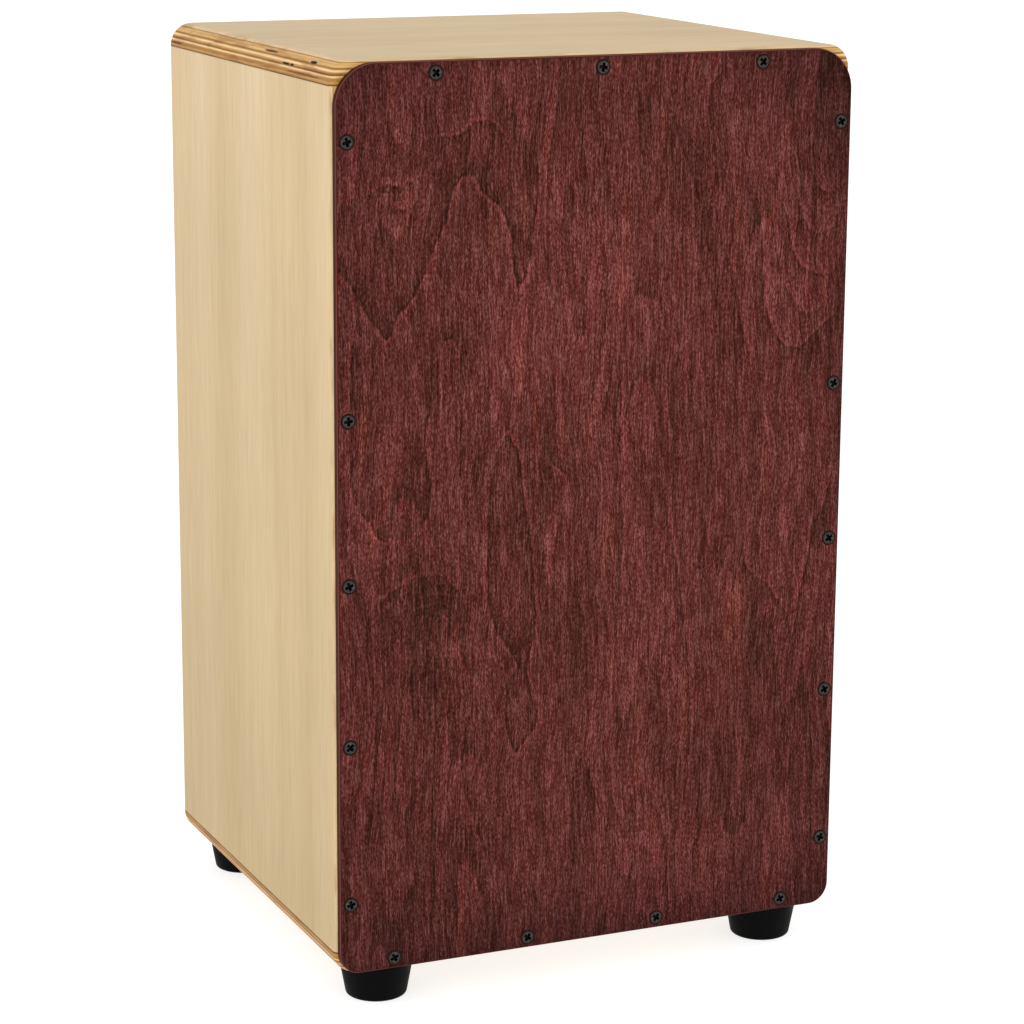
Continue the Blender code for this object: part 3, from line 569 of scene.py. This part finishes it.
# How far each point lies inside the rounded outline
centre = np.array([(tapaLow.x + tapaHigh.x) / 2, (tapaLow.z + tapaHigh.z) / 2])
half = np.array([tapaHigh.x - tapaLow.x, tapaHigh.z - tapaLow.z]) / 2
radius = np.where(spots[:, 1] > centre[1], tapa["topRadius"], tapa["bottomRadius"])
corner = np.abs(spots - centre) - half + radius[:, None]
outside = np.hypot(*np.maximum(corner, 0).T) + np.minimum(corner.max(axis=1), 0) - radius
rim = tapaMesh.attributes.new("fromRim", "FLOAT", "POINT")
rim.data.foreach_set("value", (-outside).astype(np.float32))
print("figure laid")

# Birch veneer under a wine-red stain: short dark dashes, fibres, blotches and the growth lines. Cells are
# noise cells to the metre, and a tint is added to 1 in each channel.
veneer = {
    "driftCells": 14.0, "wander": 12 * mm, "jagCells": 620.0, "jag": 5 * mm,
    "swayCells": 160.0, "sway": 1.8 * mm, "patchCells": 45.0, "contourCells": 22.0, "contourSteps": 11.0,
    "faintCells": 13.0,
    "warmTint": (0.12, 0.10, -0.10), "wineGain": (2.15, 1.8, 2.55), "wineBase": (1.06, 0.985, 1.07),
    "lineTint": (-0.60, -0.53, -0.69), "darkestLine": 0.97, "sheen": 0.04,
}
stain = [(0.0, "#360f08"), (0.12, "#3d140c"), (0.5, "#51251f"), (0.85, "#6b3e38"), (1.0, "#784b45")]
stainedBirch, tree, shader, place = startMaterial("stained birch veneer")
drift = put(tree, "TexNoise", {"Vector": place, "Scale": veneer["driftCells"], "Detail": 2.0})
push = put(tree, "VectorMath", {0: drift.outputs["Color"], 1: (0.5, 0.5, 0.5)}, operation="SUBTRACT")
wander = (veneer["wander"], 0.0, veneer["wander"])
pushed = put(tree, "VectorMath", {0: push, 1: wander, 2: place}, operation="MULTIPLY_ADD")

# Fibre layers: (size across the grain in mm, length for a width of 1, share of the tone). The fine ones
# pick the tone of the stain, and the broad ones run from brown to wine red.
layers = {
    "dashes": (0.52, 3.6, 2.2), "fibres": (0.62, 14, 1.7), "strands": (2.2, 20, 0.53),
    "streaks": (8.0, 9.5, 0.45), "clouds": (50.0, 1.8, 0.5),
}
grain = {}
levels = {"fine": 0.5, "broad": 0.0}
for name, (size, length, share) in layers.items():
    level = "fine" if name in ("dashes", "fibres") else "broad"
    stretched = put(tree, "VectorMath", {0: pushed, 1: (1.0, 1.0, 1.0 / length)}, operation="MULTIPLY")
    noise = put(tree, "TexNoise", {"Vector": stretched, "Scale": 1.0 / (size * mm), "Detail": 2.5})
    grain[name] = noise.outputs["Fac"]
    centred = put(tree, "Math", {0: grain[name], 1: -0.5}, operation="ADD")
    summed = put(tree, "Math", {0: centred, 1: share, 2: levels[level]}, operation="MULTIPLY_ADD")
    levels[level] = summed.outputs[0]
tone = put(tree, "ValToRGB", {"Fac": levels["fine"]}, stops=stain)
warm = put(tree, "MapRange", {0: grain["streaks"], 1: 0.58, 2: 0.78})
warm = put(tree, "VectorMath", {0: warm, 1: veneer["warmTint"], 2: ones}, operation="MULTIPLY_ADD")
colour = put(tree, "VectorMath", {0: tone, 1: warm}, operation="MULTIPLY")
wineTone = {0: levels["broad"], 1: veneer["wineGain"], 2: veneer["wineBase"]}
wine = put(tree, "VectorMath", wineTone, operation="MULTIPLY_ADD")
colour = put(tree, "VectorMath", {0: colour, 1: wine}, operation="MULTIPLY")

# Painted shade: darker towards the corners, the top corners and the bottom; the darkening along the rim is
# part stain and part painted shade
paintedShadeAndStain = {
    "spread": (6.6, 0.0, 3.0), "offset": (0.07, 0.0, -0.95), "middleTone": 1.05, "cornerTone": 0.84,
    "rimTone": 0.84, "rimWidth": 5 * mm, "bottomTone": 0.62, "bottomStart": 4 * mm, "bottomEnd": 46 * mm,
    "topTint": -0.45, "topHeight": 80 * mm, "topFromMiddle": 60 * mm,
}
spread = {0: place, 1: paintedShadeAndStain["spread"], 2: paintedShadeAndStain["offset"]}
away = put(tree, "VectorMath", spread, operation="MULTIPLY_ADD")
away = put(tree, "VectorMath", {0: away}, operation="LENGTH").outputs["Value"]
tones = (paintedShadeAndStain["middleTone"], paintedShadeAndStain["cornerTone"])
paintedShadeTone = put(tree, "MapRange", {0: away, 1: 0.3, 2: 1.3, 3: tones[0], 4: tones[1]})
fromRim = put(tree, "Attribute", attribute_name="fromRim").outputs["Fac"]
rimEnds = (tapa["edge"], paintedShadeAndStain["rimWidth"])
rimDarkening = put(
    tree, "MapRange", {0: fromRim, 1: rimEnds[0], 2: rimEnds[1], 3: paintedShadeAndStain["rimTone"], 4: 1.0}
)
paintedShadeTone = put(tree, "Math", {0: paintedShadeTone, 1: rimDarkening}, operation="MULTIPLY")
split = put(tree, "SeparateXYZ", {0: place})
height = split.outputs[2]
fadeLow, fadeHigh = tapaLow.z + paintedShadeAndStain["bottomStart"], tapaLow.z + paintedShadeAndStain["bottomEnd"]
low = put(tree, "MapRange", {0: height, 1: fadeLow, 2: fadeHigh, 3: paintedShadeAndStain["bottomTone"], 4: 1.0})
paintedShadeTone = put(tree, "Math", {0: paintedShadeTone, 1: low}, operation="MULTIPLY")
aside = put(tree, "Math", {0: split.outputs[0]}, operation="ABSOLUTE")
aside = put(tree, "MapRange", {0: aside, 1: paintedShadeAndStain["topFromMiddle"], 2: tapaHigh.x})
topStart = tapaHigh.z - paintedShadeAndStain["topHeight"]
high = put(tree, "MapRange", {0: height, 1: topStart, 2: tapaHigh.z, 3: 0.0, 4: paintedShadeAndStain["topTint"]})
high = put(tree, "Math", {0: aside, 1: high, 2: 1.0}, operation="MULTIPLY_ADD")
paintedShadeTone = put(tree, "Math", {0: paintedShadeTone, 1: high}, operation="MULTIPLY")
colour = put(tree, "VectorMath", {0: colour, 1: paintedShadeTone}, operation="MULTIPLY")

# The lines are pushed up and down fibre by fibre, so that they look torn where they cross the grain
jagged = put(tree, "VectorMath", {0: place, 1: (1.0, 1.0, 0.015)}, operation="MULTIPLY")
jag = put(tree, "TexNoise", {"Vector": jagged, "Scale": veneer["jagCells"], "Detail": 3.0})
jag = put(tree, "Math", {0: jag, 1: veneer["jag"], 2: -veneer["jag"] / 2}, operation="MULTIPLY_ADD")
sway = put(tree, "TexNoise", {"Vector": place, "Scale": veneer["swayCells"], "Detail": 2.0})
sway = put(tree, "Math", {0: sway, 1: veneer["sway"], 2: -veneer["sway"] / 2}, operation="MULTIPLY_ADD")
patchy = put(tree, "TexNoise", {"Vector": place, "Scale": veneer["patchCells"], "Detail": 2.0})
patchy = put(tree, "MapRange", {0: patchy, 1: 0.35, 2: 0.6, 3: 0.65, 4: 1.15})
uneven = put(tree, "MapRange", {0: grain["fibres"], 1: 0.35, 2: 0.65, 3: 1.35, 4: 0.65})
patchy = put(tree, "Math", {0: patchy, 1: uneven}, operation="MULTIPLY")

# Faint growth rings all over: contours of a noise drawn out along the grain, dark before each step and pale
# after it
drawn = put(tree, "VectorMath", {0: pushed, 1: (1.0, 1.0, 0.14)}, operation="MULTIPLY")
contour = put(tree, "TexNoise", {"Vector": drawn, "Scale": veneer["contourCells"], "Detail": 1.0})
contour = put(tree, "Math", {0: contour, 1: veneer["contourSteps"]}, operation="MULTIPLY")
contour = put(tree, "Math", {0: grain["fibres"], 1: 0.14, 2: contour}, operation="MULTIPLY_ADD")
contour = put(tree, "Math", {0: contour}, operation="FRACT")
contour = put(
    tree, "ValToRGB", {"Fac": contour},
    stops=[(0.0, 0.0), (0.10, 0.22), (0.25, 0.40), (0.60, 0.45), (0.90, 0.90), (0.96, 0.85), (1.0, 0.0)],
)
faint = put(tree, "TexNoise", {"Vector": place, "Scale": veneer["faintCells"], "Detail": 1.0})
faint = put(tree, "MapRange", {0: faint, 1: 0.38, 2: 0.62, 3: 0.3, 4: 1.15})
contour = put(tree, "Math", {0: contour, 1: -0.42}, operation="ADD")
contour = put(tree, "Math", {0: contour, 1: faint}, operation="MULTIPLY")
shades = [contour]

# The drawn lines: each range runs over the distance from the line, with the shade at its start and end
lineShades = {
    "edge": (-0.5 * mm, 0.4 * mm, 0.0, 1.0), "core": (0.3 * mm, 3.4 * mm, 0.84, 0.0),
    "soft": (0.0, 13 * mm, 0.38, 0.0), "glow": (-3 * mm, -0.4 * mm, 0.0, -0.75),
}
for name in growthLines:
    line = put(tree, "Attribute", attribute_name=name)
    distance, rise, strength = put(tree, "SeparateXYZ", {0: line.outputs["Vector"]}).outputs
    moved = put(tree, "Math", {0: rise, 1: jag, 2: distance}, operation="MULTIPLY_ADD")
    moved = put(tree, "Math", {0: moved, 1: sway}, operation="ADD")
    shade = {}
    for key, ends in lineShades.items():
        shade[key] = put(tree, "MapRange", dict(enumerate((moved, *ends))), interpolation_type="SMOOTHSTEP")
    dark = put(tree, "Math", {0: shade["core"], 1: shade["soft"]}, operation="MAXIMUM")
    both = put(tree, "Mix", {0: shade["edge"], 2: shade["glow"], 3: dark})
    shades.append(put(tree, "Math", {0: both, 1: strength}, operation="MULTIPLY"))
knot = put(tree, "Attribute", attribute_name="knotRings")
parts = put(tree, "SeparateXYZ", {0: knot.outputs["Vector"]})
phase = put(tree, "Math", {0: jag, 1: 60.0, 2: parts.outputs[0]}, operation="MULTIPLY_ADD")
phase = put(tree, "Math", {0: sway, 1: 350.0, 2: phase}, operation="MULTIPLY_ADD")
saw = put(tree, "Math", {0: phase}, operation="FRACT")
ringStops = [(0.0, 0.0), (0.12, 0.15), (0.3, 0.6), (0.85, 0.95), (1.0, 0.0)]
ring = put(tree, "ValToRGB", {"Fac": saw}, stops=ringStops)
shades.append(put(tree, "Math", {0: ring, 1: parts.outputs[2]}, operation="MULTIPLY"))
total = shades[0]
for shade in shades[1:]:
    total = put(tree, "Math", {0: total, 1: shade}, operation="ADD")
total = put(tree, "Math", {0: total, 1: patchy}, operation="MULTIPLY")
total = put(tree, "Math", {0: total, 1: veneer["darkestLine"]}, operation="MINIMUM")
tint = put(tree, "VectorMath", {0: total, 1: veneer["lineTint"], 2: ones}, operation="MULTIPLY_ADD")
colour = put(tree, "VectorMath", {0: colour, 1: tint}, operation="MULTIPLY")

# The edge of the plate: painted shade where the rounding starts, a painted highlight over the rounding,
# then the dark brown plies of the sides, partly their own colour and partly painted shade
fromFront = put(tree, "MapRange", {0: split.outputs[1], 1: tapaLow.y, 2: tapaHigh.y})
paintedEdgeLightAndPly = put(
    tree, "ValToRGB", {"Fac": fromFront},
    stops=[
        (0.01, "#401c16"), (0.06, "#3a1812"), (0.10, "#733c33"), (0.16, "#733c33"), (0.22, "#3f1c12"),
        (0.9, "#361a10"),
    ],
)
onEdge = put(tree, "MapRange", {0: fromFront, 1: 0.005, 2: 0.03})
colour = put(tree, "Mix", {0: onEdge, 6: colour, 7: paintedEdgeLightAndPly}, data_type="RGBA")
rough = (grain["strands"], 0.3, 0.7, 0.60, 0.48)
finishShader(tree, shader, colour.outputs[2], rough, (grain["dashes"], 0.15, 0.15 * mm))
shader.inputs["Specular IOR Level"].default_value = veneer["sheen"]
addPiece("tapa_veneer", tapaMesh, stainedBirch, "tapa")
print("tapa stained")

# Black coated steel, for the screws: rubbed to a warm grey on the crown, with painted shade darkening the
# recess and the rim of the head
blackSteel, tree, shader, place = startMaterial("black coated steel")
grit = put(tree, "TexNoise", {"Vector": place, "Scale": 2600.0, "Detail": 4.0})
rubbed = put(tree, "TexNoise", {"Vector": place, "Scale": 700.0, "Detail": 3.0})
colour = put(
    tree, "ValToRGB", {"Fac": rubbed}, stops=[(0.35, "#332f2c"), (0.55, "#433e39"), (0.75, "#5a534c")]
)
split = put(tree, "SeparateXYZ", {0: place})
flat = put(tree, "CombineXYZ", {0: split.outputs[0], 1: split.outputs[1]})
fromAxis = put(tree, "VectorMath", {0: flat}, operation="LENGTH")
# Painted shade: the outer rim of the head and the cross recess are darkened as if in shade
rim = put(tree, "MapRange", {0: fromAxis.outputs["Value"], 1: 2.9 * mm, 2: 3.3 * mm, 3: 1.0, 4: 0.14})
paintedRecessShade = put(tree, "MapRange", {0: split.outputs[2], 1: -0.3 * mm, 2: 0.1 * mm, 3: 0.05, 4: 1.0})
shade = put(tree, "Math", {0: rim, 1: paintedRecessShade}, operation="MULTIPLY")
colour = put(tree, "VectorMath", {0: colour, 1: shade}, operation="MULTIPLY")
finishShader(tree, shader, colour.outputs[0], (grit, 0.3, 0.7, 0.40, 0.58), (grit, 0.15, 0.05 * mm))
shader.inputs["Metallic"].default_value = 0.6
shader.inputs["Specular IOR Level"].default_value = 0.2

# Tapa screws with a crowned head and a cross recess
recess = {"arm": 2.35 * mm, "half": 0.85 * mm, "depth": 1.6 * mm, "above": 1.5 * mm, "taper": 0.5}
head, shank = screw["head"], screw["shank"]
sphere = (head * head + screw["crown"] ** 2) / (2 * screw["crown"])
headProfile = []
for i in range(screw["crownSteps"] + 1):
    r = head * screw["crownShare"] * i / screw["crownSteps"]
    headProfile.append((r, screw["crown"] - sphere + math.sqrt(sphere * sphere - r * r)))
headProfile += [(head, -screw["rimTop"]), (head, -screw["rimBottom"]), (shank, shank - head)]
headProfile += [(shank, -screw["shoulder"]), (0, -screw["length"])]
headMesh = turnedMesh("screw", headProfile, screw["steps"])
bm = bmesh.new()
rings = []
for z, scale in ((recess["above"], 1.0), (0.0, 1.0), (-recess["depth"], recess["taper"])):
    a, h = recess["arm"] * scale, recess["half"] * (0.5 + 0.5 * scale)
    cross = [(a, -h), (a, h), (h, h)]
    for i in range(3 * len(cross)):  # three more quarters, each the one before turned by 90 degrees
        x, y = cross[i]
        cross.append((-y, x))
    rings.append([bm.verts.new((x, y, z)) for x, y in cross])
for upper, lower in zip(rings, rings[1:]):
    for i in range(len(upper)):
        n = (i + 1) % len(upper)
        bm.faces.new((upper[i], lower[i], lower[n], upper[n]))
bm.faces.new(rings[0])
bm.faces.new(rings[-1][::-1])
screwMesh = cutMesh(headMesh, finishMesh(bm, "cross"))
spin = random.Random(7)
for name in screwNames:
    turn = Matrix.Rotation(spin.uniform(0, math.tau), 4, "Z")
    place = Matrix.Translation(screwPlaces[name]) @ toFront @ turn
    addPiece(name + "_steel", screwMesh, blackSteel, name, place, weighted=False)
print("screws set")

# Black moulded rubber: fine pitting, a little grey where it is handled
blackRubber, tree, shader, place = startMaterial("black rubber")
pits = put(tree, "TexNoise", {"Vector": place, "Scale": 1500.0, "Detail": 4.0})
dust = put(tree, "TexNoise", {"Vector": place, "Scale": 90.0, "Detail": 5.0})
colour = put(
    tree, "ValToRGB", {"Fac": dust}, stops=[(0.35, "#030303"), (0.6, "#060606"), (0.8, "#0c0b0b")]
)
finishShader(tree, shader, colour.outputs[0], (dust, 0.3, 0.7, 0.48, 0.68), (pits, 0.2, 0.1 * mm))
shader.inputs["Specular IOR Level"].default_value = 0.05

# Feet, turned; the draft is the lean of their sides, in degrees
foot = {
    "bottom": 16.5 * mm, "height": 20 * mm, "draft": 10, "edge": 2 * mm, "edgeSteps": 7,
    "rim": 0.8 * mm, "rimSteps": 5, "hole": 2.4 * mm, "recess": 7.75 * mm, "recessDepth": 10 * mm,
    "chamfer": 0.4 * mm, "steps": 72,
}
footLow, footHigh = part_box("rubber_foot_front_left")
foot["top"] = (footHigh.x - footLow.x) / 2
footProfile = [(foot["hole"], foot["height"])]
sweep = 90 - foot["draft"]
for i in range(foot["rimSteps"] + 1):
    angle = math.radians(90 - sweep * i / foot["rimSteps"])
    footProfile.append((
        foot["top"] - foot["rim"] + foot["rim"] * math.cos(angle),
        foot["height"] - foot["rim"] + foot["rim"] * math.sin(angle),
    ))
for i in range(foot["edgeSteps"] + 1):
    angle = math.radians(-foot["draft"] - sweep * i / foot["edgeSteps"])
    footProfile.append((
        foot["bottom"] - foot["edge"] + foot["edge"] * math.cos(angle),
        foot["edge"] + foot["edge"] * math.sin(angle),
    ))
footProfile += [(foot["recess"] + foot["chamfer"], 0), (foot["recess"], foot["chamfer"])]
footProfile += [(foot["recess"], foot["recessDepth"]), (foot["hole"], foot["recessDepth"])]
footMesh = turnedMesh("foot", footProfile, foot["steps"], closed=True)
for end in ("front", "back"):
    for side in ("left", "right"):
        name = f"rubber_foot_{end}_{side}"
        low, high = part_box(name)
        place = Matrix.Translation(((low.x + high.x) / 2, (low.y + high.y) / 2, 0))
        addPiece(name + "_rubber", footMesh, blackRubber, name, place)
print("feet made")

# Softwood strips and batten: bare, with growth bands along each piece
softwood, tree, shader, place = startMaterial("sanded softwood")
stretched = put(tree, "VectorMath", {0: place, 1: (0.06, 0.05, 1.0)}, operation="MULTIPLY")
bands = put(tree, "TexNoise", {"Vector": stretched, "Scale": 420.0, "Detail": 4.0})
colour = put(
    tree, "ValToRGB", {"Fac": bands}, stops=[(0.3, "#b98d56"), (0.5, "#d9b47c"), (0.7, "#e6c895")]
)
finishShader(tree, shader, colour.outputs[0], (bands, 0.3, 0.7, 0.6, 0.75), (bands, 0.2, 0.2 * mm))

# Zinc plated steel, for the foot washers and screws
zincSteel, tree, shader, place = startMaterial("zinc plated steel")
spangle = put(tree, "TexVoronoi", {"Vector": place, "Scale": 900.0}).outputs["Distance"]
colour = put(tree, "ValToRGB", {"Fac": spangle}, stops=[(0.1, "#b3b5b8"), (0.8, "#cfd1d3")])
finishShader(tree, shader, colour.outputs[0], (spangle, 0.0, 0.8, 0.28, 0.42))
shader.inputs["Metallic"].default_value = 1.0

# Bright spring steel, with the windings of the snare coils: painted shade in the grooves between windings,
# over a bump of the same pattern
springSteel, tree, shader, place = startMaterial("spring steel wire")
coils = put(tree, "TexWave", {"Vector": place, "Scale": 180.0}, bands_direction="Z").outputs["Fac"]
colour = put(tree, "ValToRGB", {"Fac": coils}, stops=[(0.1, "#5d5a55"), (0.7, "#d0ccc4")])
finishShader(tree, shader, colour.outputs[0], relief=(coils, 0.6, 0.4 * mm))
shader.inputs["Metallic"].default_value = 1.0
shader.inputs["Roughness"].default_value = 0.32

for start, material in (
    ("corner_strip", softwood), ("snare_batten", softwood), ("foot_washer", zincSteel),
    ("foot_screw", zincSteel), ("snare_wires", springSteel), ("snare_screw", blackSteel),
):
    for name, obj in cadNodes.items():
        if name.startswith(start):
            for materialSlot in obj.material_slots:
                materialSlot.material = material
print("inside dressed")

# White studio floor, wide enough for its edge to stay out of every view
studioFloor = {"half": 60.0, "roughness": 0.9, "glow": 0.75}
paleFloor, tree, shader, place = startMaterial("white studio floor")
tint = put(tree, "TexNoise", {"Vector": place, "Scale": 0.7, "Detail": 2.0})
colour = put(tree, "ValToRGB", {"Fac": tint}, stops=[(0.3, "#a2a2a2"), (0.7, "#a7a7a7")])
finishShader(tree, shader, colour.outputs[0])
shader.inputs["Roughness"].default_value = studioFloor["roughness"]
shader.inputs["Emission Color"].default_value = (1.0, 1.0, 1.0, 1.0)
shader.inputs["Emission Strength"].default_value = studioFloor["glow"]
bm = bmesh.new()
bmesh.ops.create_grid(bm, x_segments=1, y_segments=1, size=studioFloor["half"])
floor = bpy.data.objects.new("floor", finishMesh(bm, "floor"))
floor.data.materials.append(paleFloor)
bpy.context.scene.collection.objects.link(floor)

# Light and camera
skyGlow = {"horizon": 1.0, "top": 1.1, "topAt": 0.9}
world = bpy.data.worlds.new("studio")
bpy.context.scene.world = world
bpy.context.scene.view_settings.view_transform = "Standard"
world.use_nodes = True
tree = world.node_tree
sky = put(tree, "SeparateXYZ", {0: put(tree, "TexCoord").outputs["Generated"]})
skyEnds = {1: 0.0, 2: skyGlow["topAt"], 3: skyGlow["horizon"], 4: skyGlow["top"]}
sky = put(tree, "MapRange", {0: sky.outputs[2], **skyEnds})
tree.links.new(sky.outputs[0], tree.nodes["Background"].inputs["Strength"])
tree.nodes["Background"].inputs["Color"].default_value = (1.0, 1.0, 1.0, 1.0)
lamps = {
    "key": {"at": (-1.3, -1.3, 1.35), "to": (0.0, 0.0, 0.3), "size": 0.9, "power": 5.5},
    "front": {"at": (0.5, -2.4, 1.2), "to": (0.0, 0.0, 0.25), "size": 1.2, "power": 3.5},
}
for name, lamp in lamps.items():
    light = bpy.data.lights.new(name, "AREA")
    light.size = lamp["size"]
    light.energy = lamp["power"]
    obj = bpy.data.objects.new(name, light)
    aim = Vector(lamp["to"]) - Vector(lamp["at"])
    obj.matrix_world = Matrix.Translation(lamp["at"]) @ aim.to_track_quat("-Z", "Y").to_matrix().to_4x4()
    bpy.context.scene.collection.objects.link(obj)

view = {"at": (-0.682, -1.560, 0.629), "yaw": 23.88, "pitch": 13.22, "roll": 0.37, "lens": 109.6}
yaw, pitch, roll = (math.radians(view[k]) for k in ("yaw", "pitch", "roll"))
ahead = Vector((math.sin(yaw) * math.cos(pitch), math.cos(yaw) * math.cos(pitch), -math.sin(pitch)))
right = Vector((math.cos(yaw), -math.sin(yaw), 0))
up = right.cross(ahead)
right, up = math.cos(roll) * right + math.sin(roll) * up, math.cos(roll) * up - math.sin(roll) * right
camera = bpy.data.objects.new("camera", bpy.data.cameras.new("camera"))
camera.data.sensor_width = 36.0
camera.data.lens = view["lens"]
camera.matrix_world = Matrix.Translation(view["at"]) @ Matrix((right, up, -ahead)).transposed().to_4x4()
bpy.context.scene.collection.objects.link(camera)
bpy.context.scene.camera = camera
print("stage set")
